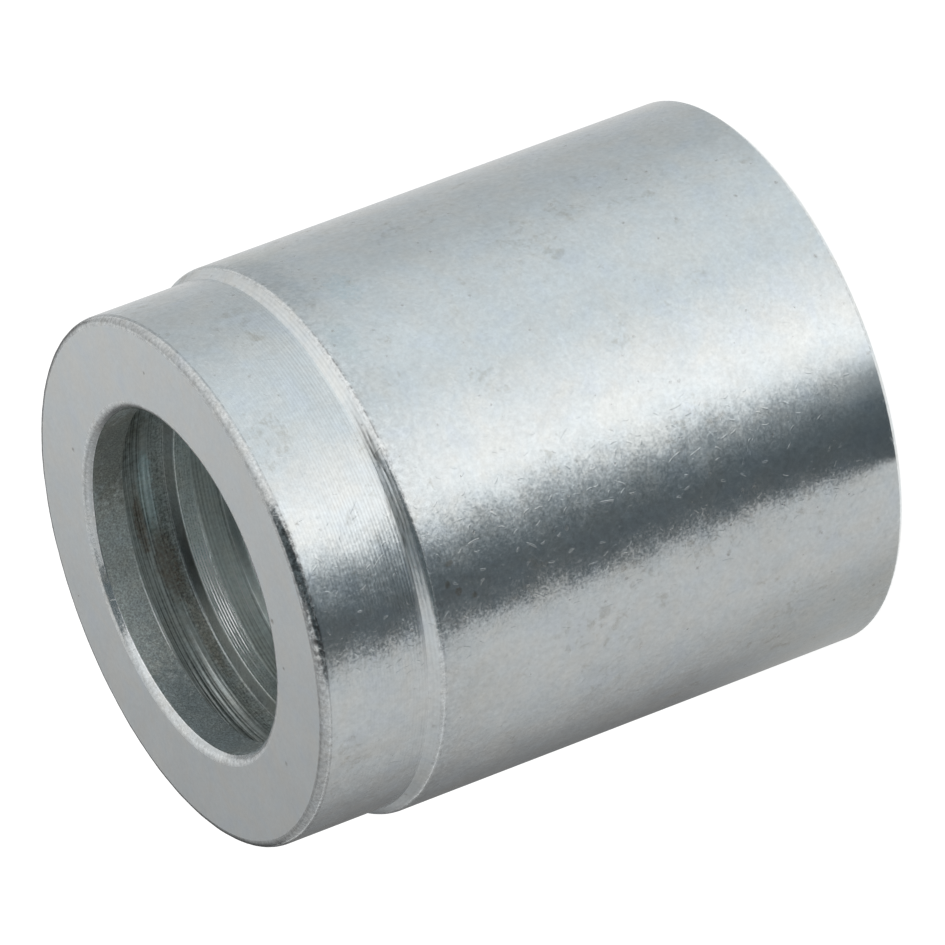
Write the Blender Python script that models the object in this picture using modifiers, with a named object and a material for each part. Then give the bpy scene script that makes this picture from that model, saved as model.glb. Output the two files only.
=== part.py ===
"""Crimp ferrule for a hydraulic hose: one sleeve turned from steel bar.

It stands on its open tail, where the hose goes in, with its axis on +Z and
the narrower collar on top. The origin is the centre of the tail's end face.
Lengths are in metres. Depths are measured down from the collar's end face.
"""

import math

import bpy

# The bore's narrowest ring is set by the hose, and the rest is built out from it
RING_DIAMETER = 0.0185
WALL_OVER_GROOVES = 0.0040
LENGTH = 0.0325

# Collar, and the shoulder up to the body
COLLAR_STEP = 0.00045
COLLAR_LENGTH = 0.00583
SHOULDER_ANGLE = math.radians(38.0)
SHOULDER_ROUND = 0.0005
COLLAR_EDGE_ROUND = 0.00045
TAIL_EDGE_BREAK = 0.00022

# Lip that locks behind the insert's shoulder, and the groove behind it
LIP_HEIGHT = 0.0012
LIP_LENGTH = 0.0020
LIP_BACK_RUN = 0.0003
MOUTH_CHAMFER = 0.0003
LOCK_GROOVE_LENGTH = 0.00265

# Rings that bite into the hose's cover, with grooves between them
RING_HEIGHT = 0.00075
RING_CREST_WIDTH = 0.00083
RING_FRONT_RUN = 0.0002
RING_BACK_RUN = 0.00045
RING_PITCH = 0.0028

# Plain bore at the tail, with its lead-in for the hose
TAIL_CLEARANCE = 0.00035
TAIL_BORE_LENGTH = 0.0049
LEAD_IN_WIDTH = 0.0010
LEAD_IN_ANGLE = math.radians(30.0)

# How finely curves are cut into flats
STEPS_AROUND = 72
ARC_STEPS = 4
SHARP_ANGLE = math.radians(20.0)

# Radii that follow from the sizes above
RING_RADIUS = RING_DIAMETER / 2
GROOVE_RADIUS = RING_RADIUS + RING_HEIGHT
LIP_RADIUS = GROOVE_RADIUS - LIP_HEIGHT
TAIL_RADIUS = RING_RADIUS + TAIL_CLEARANCE
BODY_RADIUS = GROOVE_RADIUS + WALL_OVER_GROOVES
COLLAR_RADIUS = BODY_RADIUS - COLLAR_STEP


def collar_edge_points():
    """Quarter round from the collar's end face to its side."""
    points = []
    for index in range(ARC_STEPS + 1):
        turn = math.pi / 2 * index / ARC_STEPS
        radius = COLLAR_RADIUS - COLLAR_EDGE_ROUND * (1 - math.sin(turn))
        depth = COLLAR_EDGE_ROUND * (1 - math.cos(turn))
        points.append((radius, LENGTH - depth))
    return points


def shoulder_points():
    """Ramp from the collar to the body, rounded where it meets the body."""
    angle = SHOULDER_ANGLE
    # A low step has no room for the whole round, and then has no straight ramp.
    round_radius = min(SHOULDER_ROUND, COLLAR_STEP / (1 - math.cos(angle)))
    ramp_rise = COLLAR_STEP - round_radius * (1 - math.cos(angle))
    ramp_run = ramp_rise / math.tan(angle)
    end_depth = COLLAR_LENGTH + ramp_run + round_radius * math.sin(angle)
    points = [(COLLAR_RADIUS, LENGTH - COLLAR_LENGTH)]
    for index in range(ARC_STEPS + 1):
        turn = angle * (1 - index / ARC_STEPS)
        radius = BODY_RADIUS - round_radius * (1 - math.cos(turn))
        depth = end_depth - round_radius * math.sin(turn)
        points.append((radius, LENGTH - depth))
    return points


def outside_points():
    """Outer side from the collar's end face down to the tail's end face."""
    points = collar_edge_points() + shoulder_points()
    points += [
        (BODY_RADIUS, TAIL_EDGE_BREAK),
        (BODY_RADIUS - TAIL_EDGE_BREAK, 0.0),
    ]
    return points


def ring_depths(first_depth, last_depth):
    """Where each ring starts, as many as fit whole between the two depths."""
    ring_length = RING_FRONT_RUN + RING_CREST_WIDTH + RING_BACK_RUN
    room = last_depth - first_depth - ring_length
    count = max(1, math.floor(room / RING_PITCH) + 1)
    return [first_depth + index * RING_PITCH for index in range(count)]


def bore_points():
    """Bore from the tail's end face up to the mouth in the collar's end face."""
    groove_depth = LIP_LENGTH + LIP_BACK_RUN
    tail_depth = LENGTH - TAIL_BORE_LENGTH
    tail_foot_depth = tail_depth - RING_FRONT_RUN
    lead_in_run = LEAD_IN_WIDTH / math.tan(LEAD_IN_ANGLE)

    going_in = [
        (LIP_RADIUS + MOUTH_CHAMFER, 0.0),
        (LIP_RADIUS, MOUTH_CHAMFER),
        (LIP_RADIUS, LIP_LENGTH),
        (GROOVE_RADIUS, groove_depth),
    ]
    for front in ring_depths(groove_depth + LOCK_GROOVE_LENGTH, tail_foot_depth):
        crest_start = front + RING_FRONT_RUN
        crest_end = crest_start + RING_CREST_WIDTH
        going_in += [
            (GROOVE_RADIUS, front),
            (RING_RADIUS, crest_start),
            (RING_RADIUS, crest_end),
            (GROOVE_RADIUS, crest_end + RING_BACK_RUN),
        ]
    going_in += [
        (GROOVE_RADIUS, tail_foot_depth),
        (TAIL_RADIUS, tail_depth),
        (TAIL_RADIUS, LENGTH - lead_in_run),
        (TAIL_RADIUS + LEAD_IN_WIDTH, LENGTH),
    ]
    return [(radius, LENGTH - depth) for radius, depth in reversed(going_in)]


def zinc_plated_steel():
    material = bpy.data.materials.new("zinc_plated_steel")
    material.use_nodes = True
    shader = material.node_tree.nodes["Principled BSDF"]
    shader.inputs["Base Color"].default_value = (0.56, 0.58, 0.59, 1.0)
    shader.inputs["Metallic"].default_value = 1.0
    shader.inputs["Roughness"].default_value = 0.38
    material.diffuse_color = (0.56, 0.58, 0.59, 1.0)
    return material


def make_ferrule(collection):
    """Turn the closed section about Z."""
    section = outside_points() + bore_points()
    count = len(section)
    mesh = bpy.data.meshes.new("ferrule")
    vertices = [(radius, 0.0, height) for radius, height in section]
    edges = [(index, (index + 1) % count) for index in range(count)]
    mesh.from_pydata(vertices, edges, [])
    ferrule = bpy.data.objects.new("ferrule", mesh)
    collection.objects.link(ferrule)

    turning = ferrule.modifiers.new("turning", "SCREW")
    turning.axis = "Z"
    turning.angle = math.tau
    turning.steps = STEPS_AROUND
    turning.render_steps = STEPS_AROUND
    turning.use_merge_vertices = True
    turning.merge_threshold = 0.000001

    bpy.context.view_layer.update()
    depsgraph = bpy.context.evaluated_depsgraph_get()
    turned = bpy.data.meshes.new_from_object(ferrule.evaluated_get(depsgraph))
    ferrule.modifiers.clear()
    ferrule.data = turned
    bpy.data.meshes.remove(mesh)
    turned.name = "ferrule"
    turned.shade_smooth()
    turned.set_sharp_from_angle(angle=SHARP_ANGLE)
    turned.materials.clear()
    turned.materials.append(zinc_plated_steel())
    return ferrule


def main():
    for item in list(bpy.data.objects):
        bpy.data.objects.remove(item, do_unlink=True)
    collection = bpy.data.collections.new("crimp hose ferrule")
    bpy.context.scene.collection.children.link(collection)
    make_ferrule(collection)


main()
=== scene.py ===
import math

import bpy
from mathutils import Matrix, Vector


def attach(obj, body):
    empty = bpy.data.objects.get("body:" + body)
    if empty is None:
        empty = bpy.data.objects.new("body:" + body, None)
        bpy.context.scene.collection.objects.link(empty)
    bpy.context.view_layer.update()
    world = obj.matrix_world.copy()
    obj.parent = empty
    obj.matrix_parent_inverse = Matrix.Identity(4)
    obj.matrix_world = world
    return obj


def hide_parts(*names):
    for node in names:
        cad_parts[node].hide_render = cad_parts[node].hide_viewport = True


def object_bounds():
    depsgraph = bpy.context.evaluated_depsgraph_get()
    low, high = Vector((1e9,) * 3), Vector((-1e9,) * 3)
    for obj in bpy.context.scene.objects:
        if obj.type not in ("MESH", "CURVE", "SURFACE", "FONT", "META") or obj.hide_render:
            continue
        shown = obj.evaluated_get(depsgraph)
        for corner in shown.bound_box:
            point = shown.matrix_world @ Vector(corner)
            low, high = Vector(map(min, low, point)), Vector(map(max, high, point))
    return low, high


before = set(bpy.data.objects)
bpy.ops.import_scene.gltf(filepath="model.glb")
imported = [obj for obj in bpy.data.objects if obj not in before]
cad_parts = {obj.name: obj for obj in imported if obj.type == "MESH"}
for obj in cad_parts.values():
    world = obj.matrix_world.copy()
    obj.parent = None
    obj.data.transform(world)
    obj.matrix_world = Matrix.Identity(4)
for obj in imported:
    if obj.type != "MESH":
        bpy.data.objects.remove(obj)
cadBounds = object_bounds()
scene = bpy.context.scene
millimetre = 0.001  # sizes below are in millimetres unless a note says otherwise


# Small helpers for building node trees

def setInputs(tree, made, values):
    for key, value in values.items():
        socket = made.inputs[key]
        if isinstance(value, bpy.types.NodeSocket):
            tree.links.new(value, socket)
        else:
            socket.default_value = value


def node(tree, kind, values=None, **settings):
    made = tree.nodes.new(kind)
    for name, value in settings.items():
        setattr(made, name, value)
    setInputs(tree, made, values or {})
    return made


def calc(tree, operation, *values):
    made = node(tree, "ShaderNodeMath", dict(enumerate(values)), operation=operation)
    return made.outputs[0]


def vectorCalc(tree, operation, *values, output="Vector", **named):
    made = node(tree, "ShaderNodeVectorMath", dict(enumerate(values)), operation=operation)
    setInputs(tree, made, named)
    return made.outputs[output]


def remap(tree, value, fromLow, fromHigh, toLow=0.0, toHigh=1.0, smooth=False):
    made = node(tree, "ShaderNodeMapRange", {"Value": value})
    made.interpolation_type = "SMOOTHSTEP" if smooth else "LINEAR"
    setInputs(tree, made, {"From Min": fromLow, "From Max": fromHigh})
    setInputs(tree, made, {"To Min": toLow, "To Max": toHigh})
    return made.outputs["Result"]


def mixColor(tree, factor, first, second, mode="MIX"):
    made = node(tree, "ShaderNodeMix", data_type="RGBA", blend_type=mode)
    setInputs(tree, made, {0: factor, 6: first, 7: second})
    return made.outputs[2]


def noise(tree, vector, scale, detail=2.0, roughness=0.5, distortion=0.0):
    values = {"Vector": vector, "Scale": scale, "Detail": detail}
    values.update({"Roughness": roughness, "Distortion": distortion})
    return node(tree, "ShaderNodeTexNoise", values).outputs[0]


def wobble(tree, spot, scale, amount):
    made = node(tree, "ShaderNodeTexNoise", {"Vector": spot, "Scale": scale, "Detail": 2.0})
    shift = vectorCalc(tree, "SUBTRACT", made.outputs["Color"], (0.5, 0.5, 0.5))
    return vectorCalc(tree, "ADD", spot, vectorCalc(tree, "SCALE", shift, Scale=amount))


def band(tree, value, start, end, soft):
    # 1 between two values, falling off over the soft width on each side
    rising = remap(tree, value, start - soft, start + soft, 0.0, 1.0, True)
    falling = remap(tree, value, end - soft, end + soft, 1.0, 0.0, True)
    return calc(tree, "MULTIPLY", rising, falling)


def newGroup(name, inputs, outputs):
    tree = bpy.data.node_groups.new(name, "ShaderNodeTree")
    for socketName, value in inputs.items():
        kind = "NodeSocketFloat" if isinstance(value, float) else "NodeSocketVector"
        made = tree.interface.new_socket(name=socketName, in_out="INPUT", socket_type=kind)
        if isinstance(value, float):
            made.default_value = value
    for socketName, kind in outputs.items():
        made = tree.interface.new_socket(name=socketName, in_out="OUTPUT", socket_type=kind)
    return tree, tree.nodes.new("NodeGroupInput").outputs, tree.nodes.new("NodeGroupOutput")


def useGroup(tree, group, **values):
    made = tree.nodes.new("ShaderNodeGroup")
    made.node_tree = group
    setInputs(tree, made, values)
    return made.outputs


# Camera, set as the photograph was taken: the ferrule's collar end faces left

photoCamera = {
    "lens": 532.1,
    "elevation": 24.39,  # degrees above the floor, looking along +Y
    "roll": -110.55,  # degrees about the line of sight
    "aim": (-0.262, -0.181, 679.07),  # the part's middle: right, up and away from the lens
}


def makeCamera(sizes, middle):
    tilt = Matrix.Rotation(math.radians(90.0 - sizes["elevation"]), 3, "X")
    turned = tilt @ Matrix.Rotation(math.radians(sizes["roll"]), 3, "Z")
    right, up, away = (value * millimetre for value in sizes["aim"])
    data = bpy.data.cameras.new("photoCamera")
    data.lens = sizes["lens"]
    data.clip_start = 0.05
    data.clip_end = 20.0
    camera = bpy.data.objects.new("photoCamera", data)
    place = middle - turned @ Vector((right, up, -away))
    camera.matrix_world = Matrix.Translation(place) @ turned.to_4x4()
    scene.collection.objects.link(camera)
    scene.camera = camera


makeCamera(photoCamera, (cadBounds[0] + cadBounds[1]) / 2)
print("camera placed")


# Effects shared by the ferrule's finishes

def makeToolMarks():
    # Fine lines left by the turning tool as it travels
    inputs = {"Spot": None, "Travel": 0.0, "Pitch": 0.17, "Height": 0.002, "Patchiness": 0.5}
    outputs = {"Height": "NodeSocketFloat", "Tone": "NodeSocketFloat"}
    tree, given, result = newGroup("toolMarks", inputs, outputs)
    parts = node(tree, "ShaderNodeSeparateXYZ", {0: given["Spot"]}).outputs
    travel = given["Travel"]
    lane = node(tree, "ShaderNodeCombineXYZ", {"X": travel}).outputs[0]
    drift = noise(tree, lane, 0.9, 1.0)
    turns = calc(tree, "ADD", calc(tree, "DIVIDE", travel, given["Pitch"]), drift)
    wave = calc(tree, "SINE", calc(tree, "MULTIPLY", turns, math.tau))
    scale = calc(tree, "DIVIDE", 1.6, given["Pitch"])
    long = node(tree, "ShaderNodeCombineXYZ", {
        "X": calc(tree, "MULTIPLY", parts["X"], 0.12),
        "Y": calc(tree, "MULTIPLY", parts["Y"], 0.12),
        "Z": calc(tree, "MULTIPLY", travel, scale),
    }).outputs[0]
    lines = remap(tree, noise(tree, long, 1.0, 3.0, 0.65), 0.25, 0.75, -1.0, 1.0)
    patch = remap(tree, noise(tree, given["Spot"], 0.22, 2.0), 0.35, 0.65, 0.0, 1.0, True)
    patch = calc(tree, "MULTIPLY", patch, given["Patchiness"])
    patch = calc(tree, "SUBTRACT", 1.0, patch)
    both = calc(tree, "MULTIPLY_ADD", wave, 0.62, calc(tree, "MULTIPLY", lines, 0.50))
    both = calc(tree, "MULTIPLY", both, patch)
    height = calc(tree, "MULTIPLY", both, given["Height"])
    setInputs(tree, result, {"Height": height, "Tone": both})
    return tree


def makeNickMarks():
    # Short scuffs of many directions on the unrolled surface, one to a cell
    inputs = {"Chart": None, "Density": 1.0, "Length": 0.5, "Width": 0.1,
              "Spread": 1.0, "Chance": 0.5}
    outputs = {"Mask": "NodeSocketFloat", "Chance": "NodeSocketFloat"}
    tree, given, result = newGroup("nickMarks", inputs, outputs)
    cells = node(tree, "ShaderNodeTexVoronoi", voronoi_dimensions="2D")
    setInputs(tree, cells, {"Vector": given["Chart"], "Scale": given["Density"]})
    random = node(tree, "ShaderNodeSeparateColor", {0: cells.outputs["Color"]}).outputs
    turn = calc(tree, "SUBTRACT", random["Red"], 0.5)
    turn = calc(tree, "MULTIPLY", turn, given["Spread"])
    offset = vectorCalc(tree, "SUBTRACT", given["Chart"], cells.outputs["Position"])
    local = node(tree, "ShaderNodeVectorRotate", {"Vector": offset, "Angle": turn},
                 rotation_type="Z_AXIS")
    parts = node(tree, "ShaderNodeSeparateXYZ", {0: local.outputs[0]}).outputs
    size = remap(tree, random["Blue"], 0.0, 1.0, 0.45, 1.0)
    run = calc(tree, "DIVIDE", parts["Y"], calc(tree, "MULTIPLY", given["Length"], size))
    bow = calc(tree, "SUBTRACT", random["Green"], 0.5)
    bow = calc(tree, "MULTIPLY", bow, calc(tree, "MULTIPLY", run, run))
    across = calc(tree, "DIVIDE", parts["X"], given["Width"])
    across = calc(tree, "MULTIPLY_ADD", bow, 3.0, across)
    far = calc(tree, "ADD", calc(tree, "MULTIPLY", run, run), calc(tree, "MULTIPLY", across, across))
    mark = remap(tree, far, 0.35, 1.0, 1.0, 0.0, True)
    kept = calc(tree, "LESS_THAN", random["Blue"], given["Chance"])
    mark = calc(tree, "MULTIPLY", mark, kept)
    setInputs(tree, result, {"Mask": mark, "Chance": random["Green"]})
    return tree


def makeSpecks():
    # Small ragged pits or grains, some of the cells only
    inputs = {"Spot": None, "Density": 2.0, "Size": 0.3, "Chance": 0.3}
    tree, given, result = newGroup("specks", inputs, {"Mask": "NodeSocketFloat"})
    cells = node(tree, "ShaderNodeTexVoronoi", voronoi_dimensions="3D")
    setInputs(tree, cells, {"Vector": wobble(tree, given["Spot"], 7.0, 0.16)})
    setInputs(tree, cells, {"Scale": given["Density"]})
    random = node(tree, "ShaderNodeSeparateColor", {0: cells.outputs["Color"]}).outputs
    limit = calc(tree, "MULTIPLY", given["Size"], remap(tree, random["Green"], 0.0, 1.0, 0.4, 1.0))
    mark = calc(tree, "SUBTRACT", 1.0, calc(tree, "DIVIDE", cells.outputs["Distance"], limit))
    mark = node(tree, "ShaderNodeClamp", {"Value": mark}).outputs[0]
    kept = calc(tree, "LESS_THAN", random["Red"], given["Chance"])
    setInputs(tree, result, {"Mask": calc(tree, "MULTIPLY", mark, kept)})
    return tree


def makePlateCloud():
    # Uneven plating: lighter and darker clouds, and faint cool and warm patches
    inputs = {"Spot": None, "Shade": 0.1, "Hue": 0.1}
    outputs = {"Tint": "NodeSocketColor", "Cloud": "NodeSocketFloat"}
    tree, given, result = newGroup("plateCloud", inputs, outputs)
    wide = noise(tree, given["Spot"], 0.45, 5.0, 0.68)
    fine = noise(tree, given["Spot"], 2.4, 4.0, 0.7)
    cloud = calc(tree, "ADD", calc(tree, "MULTIPLY", wide, 0.5), calc(tree, "MULTIPLY", fine, 0.5))
    cloud = remap(tree, cloud, 0.36, 0.64, -1.0, 1.0)
    moved = vectorCalc(tree, "ADD", given["Spot"], (31.0, 7.0, 13.0))
    hue = noise(tree, moved, 0.55, 3.0, 0.6, 0.4)
    ramp = node(tree, "ShaderNodeValToRGB", {"Fac": hue})
    stops = ((0.32, (0.90, 0.97, 1.08, 1.0)), (0.44, (0.97, 1.01, 1.02, 1.0)),
             (0.52, (1.0, 1.0, 1.0, 1.0)), (0.62, (1.05, 1.0, 0.93, 1.0)))
    for index, (place, color) in enumerate(stops):
        stop = ramp.color_ramp.elements[index] if index < 2 else ramp.color_ramp.elements.new(place)
        stop.position = place
        stop.color = color
    tint = mixColor(tree, given["Hue"], (1.0, 1.0, 1.0, 1.0), ramp.outputs[0])
    level = calc(tree, "MULTIPLY_ADD", cloud, given["Shade"], 1.0)
    tint = vectorCalc(tree, "SCALE", tint, Scale=level)
    setInputs(tree, result, {"Tint": tint, "Cloud": cloud})
    return tree


def makeEdgeWear():
    # Rubbed bright along the outer corners, broken up by grain
    inputs = {"Edge": 0.0, "Spot": None, "Grain": 5.0, "Amount": 0.5}
    tree, given, result = newGroup("edgeWear", inputs, {"Mask": "NodeSocketFloat"})
    grain = noise(tree, given["Spot"], given["Grain"], 3.0, 0.7)
    worn = calc(tree, "ADD", given["Edge"], calc(tree, "SUBTRACT", grain, 0.5))
    worn = remap(tree, worn, 0.45, 1.0, 0.0, 1.0, True)
    setInputs(tree, result, {"Mask": calc(tree, "MULTIPLY", worn, given["Amount"])})
    return tree


def makeSmudges():
    # Soft uneven stains that gather in some places and leave others clean
    inputs = {"Spot": None, "Scale": 1.6, "Cover": 0.4, "Gather": 0.5}
    tree, given, result = newGroup("smudges", inputs, {"Mask": "NodeSocketFloat"})
    fine = noise(tree, given["Spot"], given["Scale"], 4.0, 0.66, 0.3)
    moved = vectorCalc(tree, "ADD", given["Spot"], (5.0, 17.0, 3.0))
    wide = remap(tree, noise(tree, moved, 0.24, 3.0, 0.6), 0.38, 0.62)
    level = calc(tree, "MULTIPLY_ADD", calc(tree, "SUBTRACT", wide, 0.5), given["Gather"], fine)
    limit = remap(tree, given["Cover"], 0.0, 1.0, 0.86, 0.34)
    limitTop = calc(tree, "ADD", limit, 0.2)
    setInputs(tree, result, {"Mask": remap(tree, level, limit, limitTop, 0.0, 1.0, True)})
    return tree


def makeStain():
    # One ragged stain at a given place
    inputs = {"Spot": None, "Centre": None, "Reach": None, "Ragged": 0.0, "Broken": 1.0}
    tree, given, result = newGroup("stain", inputs, {"Mask": "NodeSocketFloat"})
    offset = vectorCalc(tree, "SUBTRACT", given["Spot"], given["Centre"])
    far = vectorCalc(tree, "DIVIDE", offset, given["Reach"])
    far = vectorCalc(tree, "LENGTH", far, output="Value")
    far = calc(tree, "ADD", far, given["Ragged"])
    mask = calc(tree, "MULTIPLY", remap(tree, far, 1.15, 0.55, 0.0, 1.0, True), given["Broken"])
    setInputs(tree, result, {"Mask": mask})
    return tree


def makeSideLean():
    # Leans a surface a little to one side, round the axis, and up along it
    inputs = {"Normal": None, "Spot": None, "Lean": 0.0, "Rise": 0.0}
    tree, given, result = newGroup("sideLean", inputs, {"Normal": "NodeSocketVector"})
    side = vectorCalc(tree, "CROSS_PRODUCT", (0.0, 0.0, 1.0), given["Spot"])
    side = node(tree, "ShaderNodeVectorTransform", {"Vector": side}, vector_type="VECTOR",
                convert_from="OBJECT", convert_to="WORLD").outputs[0]
    side = vectorCalc(tree, "SCALE", vectorCalc(tree, "NORMALIZE", side), Scale=given["Lean"])
    leaned = vectorCalc(tree, "ADD", given["Normal"], side)
    rise = vectorCalc(tree, "SCALE", (0.0, 0.0, 1.0), Scale=given["Rise"])
    leaned = vectorCalc(tree, "ADD", leaned, rise)
    setInputs(tree, result, {"Normal": vectorCalc(tree, "NORMALIZE", leaned)})
    return tree


toolMarks = makeToolMarks()
nickMarks = makeNickMarks()
specks = makeSpecks()
plateCloud = makePlateCloud()
edgeWear = makeEdgeWear()
smudges = makeSmudges()
stain = makeStain()
sideLean = makeSideLean()


# Finishes of the ferrule

def onSurface(side, depth, radius, length):
    # A place on the ferrule: degrees round from the camera's side, and depth below the collar face
    turn = math.radians(side)
    return (radius * math.sin(turn), -radius * math.cos(turn), length - depth)


def addStains(tree, color, spot, stains, radius, length):
    # Each stain, or patch of painted shade: side, depth, reach round, reach along, color and how broken up
    # it is
    ragged = remap(tree, noise(tree, spot, 2.8, 5.0, 0.75), 0.25, 0.75, -0.5, 0.5)
    gaps = remap(tree, noise(tree, spot, 7.0, 3.0, 0.7), 0.40, 0.54, -1.0, 0.0)
    for side, depth, around, along, tint, holes in stains:
        centre = onSurface(side, depth, radius, length)
        broken = calc(tree, "MULTIPLY_ADD", gaps, holes, 1.0)
        mask = useGroup(tree, stain, Spot=spot, Centre=centre, Reach=(around, around, along),
                        Ragged=ragged, Broken=broken)["Mask"]
        stained = mixColor(tree, 1.0, color, tint + (1.0,), "MULTIPLY")
        color = mixColor(tree, mask, color, stained)
    return color


def startFinish(name, metal):
    material = bpy.data.materials.new(name)
    material.use_nodes = True
    tree = material.node_tree
    shader = tree.nodes["Principled BSDF"]
    shader.inputs["Metallic"].default_value = 1.0
    shader.inputs["Specular IOR Level"].default_value = metal["specular"]
    place = node(tree, "ShaderNodeTexCoord").outputs["Object"]
    spot = vectorCalc(tree, "SCALE", place, Scale=1.0 / millimetre)
    chart = node(tree, "ShaderNodeUVMap", uv_map="unrolled").outputs[0]
    edge = node(tree, "ShaderNodeAttribute", attribute_name="edge").outputs["Fac"]
    return material, tree, shader, spot, chart, edge


def finishSurface(tree, shader, color, roughness, height, spot, lean, rise=0.0):
    # Heights are in millimetres, and the lean and the rise are slopes
    bump = node(tree, "ShaderNodeBump", {"Height": height, "Distance": millimetre})
    normal = useGroup(tree, sideLean, Normal=bump.outputs[0], Spot=spot, Lean=lean,
                      Rise=rise)["Normal"]
    setInputs(tree, shader, {"Base Color": color, "Roughness": roughness, "Normal": normal})


def sideAngle(tree, spot):
    # Degrees round from the camera's side
    parts = node(tree, "ShaderNodeSeparateXYZ", {0: spot}).outputs
    turn = calc(tree, "ARCTAN2", parts["X"], calc(tree, "MULTIPLY", parts["Y"], -1.0))
    return calc(tree, "DEGREES", turn)


def sideways(tree, spot, around, along, detail=2.0):
    # Noise stretched round the axis, from -1 to 1
    long = vectorCalc(tree, "MULTIPLY", spot, (around, around, along))
    return remap(tree, noise(tree, long, 1.0, detail, 0.6), 0.3, 0.7, -1.0, 1.0)


platedOutside = {
    "color": (0.670, 0.700, 0.705, 1.0),
    "specular": 0.5,
    "roughness": 0.22,
    "markPitch": 0.17,
    "collarMarks": 0.0020,  # height of the turning lines on the collar
    "footMarks": 0.0045,  # and of the last ones before the shoulder
    "rampMarks": 0.0012,
    "tornMarks": 0.0110,  # and where the ramp is torn on the camera's side
    # painted dark streaks on the ramp's torn lines, standing in for a reflection
    "rampPaintedStreaks": 1.05,
    "rampRoughness": 0.12,
    # painted shade on the ramp's low side and painted highlight where it is brightest
    "rampPaintedShading": (-0.24, 0.11),  # on the side low in the picture, and where it is brightest
    "bodyMarks": 0.0004,
    # tone of the collar's tool lines, a painted reflection of real lines
    "markToneAndSheen": 0.16,
    "markLean": 0.030,
    "collarLean": 0.018,
    "bodyLean": 0.012,
    "grainLean": 0.042,
    "waveLean": 0.027,
    "edgeTone": 0.17,
    # painted shade on the rounded outer edges, then on the shoulder's and tail's edges
    "edgePaintedShade": (0.28, 0.20),  # away from the camera's side, and on it
    "shoulderEdgePaintedShade": 0.12,
    # darker on the collar's edge; painted shade on the shoulder's top corner
    "edgeDarkening": 0.60,
    "footGrime": 0.13,
    # painted shade round the mouth
    "mouthPaintedShade": (0.34, 0.28),
    "mouthDepth": (0.03, 0.34),
    "shade": 0.055,
    "mottle": 0.065,
    "hue": 0.30,
    "grainHeight": 0.0022,
    "peelHeight": 0.007,
    "nickHeight": 0.0048,
    "smudgeColor": (0.84, 0.82, 0.79, 1.0),
    "pitColor": (0.36, 0.35, 0.33, 1.0),
    "brightColor": (0.86, 0.87, 0.87, 1.0),
    "stains": [
        (-20.8, 7.8, 0.24, 0.20, (0.72, 0.62, 0.54), 0.5),
        (-18.7, 7.3, 0.20, 0.16, (0.76, 0.68, 0.60), 0.5),
        (-22.6, 8.6, 0.18, 0.15, (0.80, 0.73, 0.66), 0.5),
        (-14.8, 7.6, 0.16, 0.30, (0.80, 0.74, 0.68), 0.5),
        (62.0, 7.2, 3.4, 1.0, (0.88, 0.90, 0.92), 0.6),
        (36.0, 7.6, 1.6, 0.8, (0.93, 0.96, 0.96), 0.6),
        (-44.0, 8.4, 2.0, 1.2, (0.94, 0.93, 0.91), 0.6),
        (49.0, 9.4, 1.2, 0.9, (0.91, 0.97, 1.00), 0.6),
        (76.0, 8.0, 2.6, 1.6, (0.97, 0.96, 0.92), 0.6),
    ],
}


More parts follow.
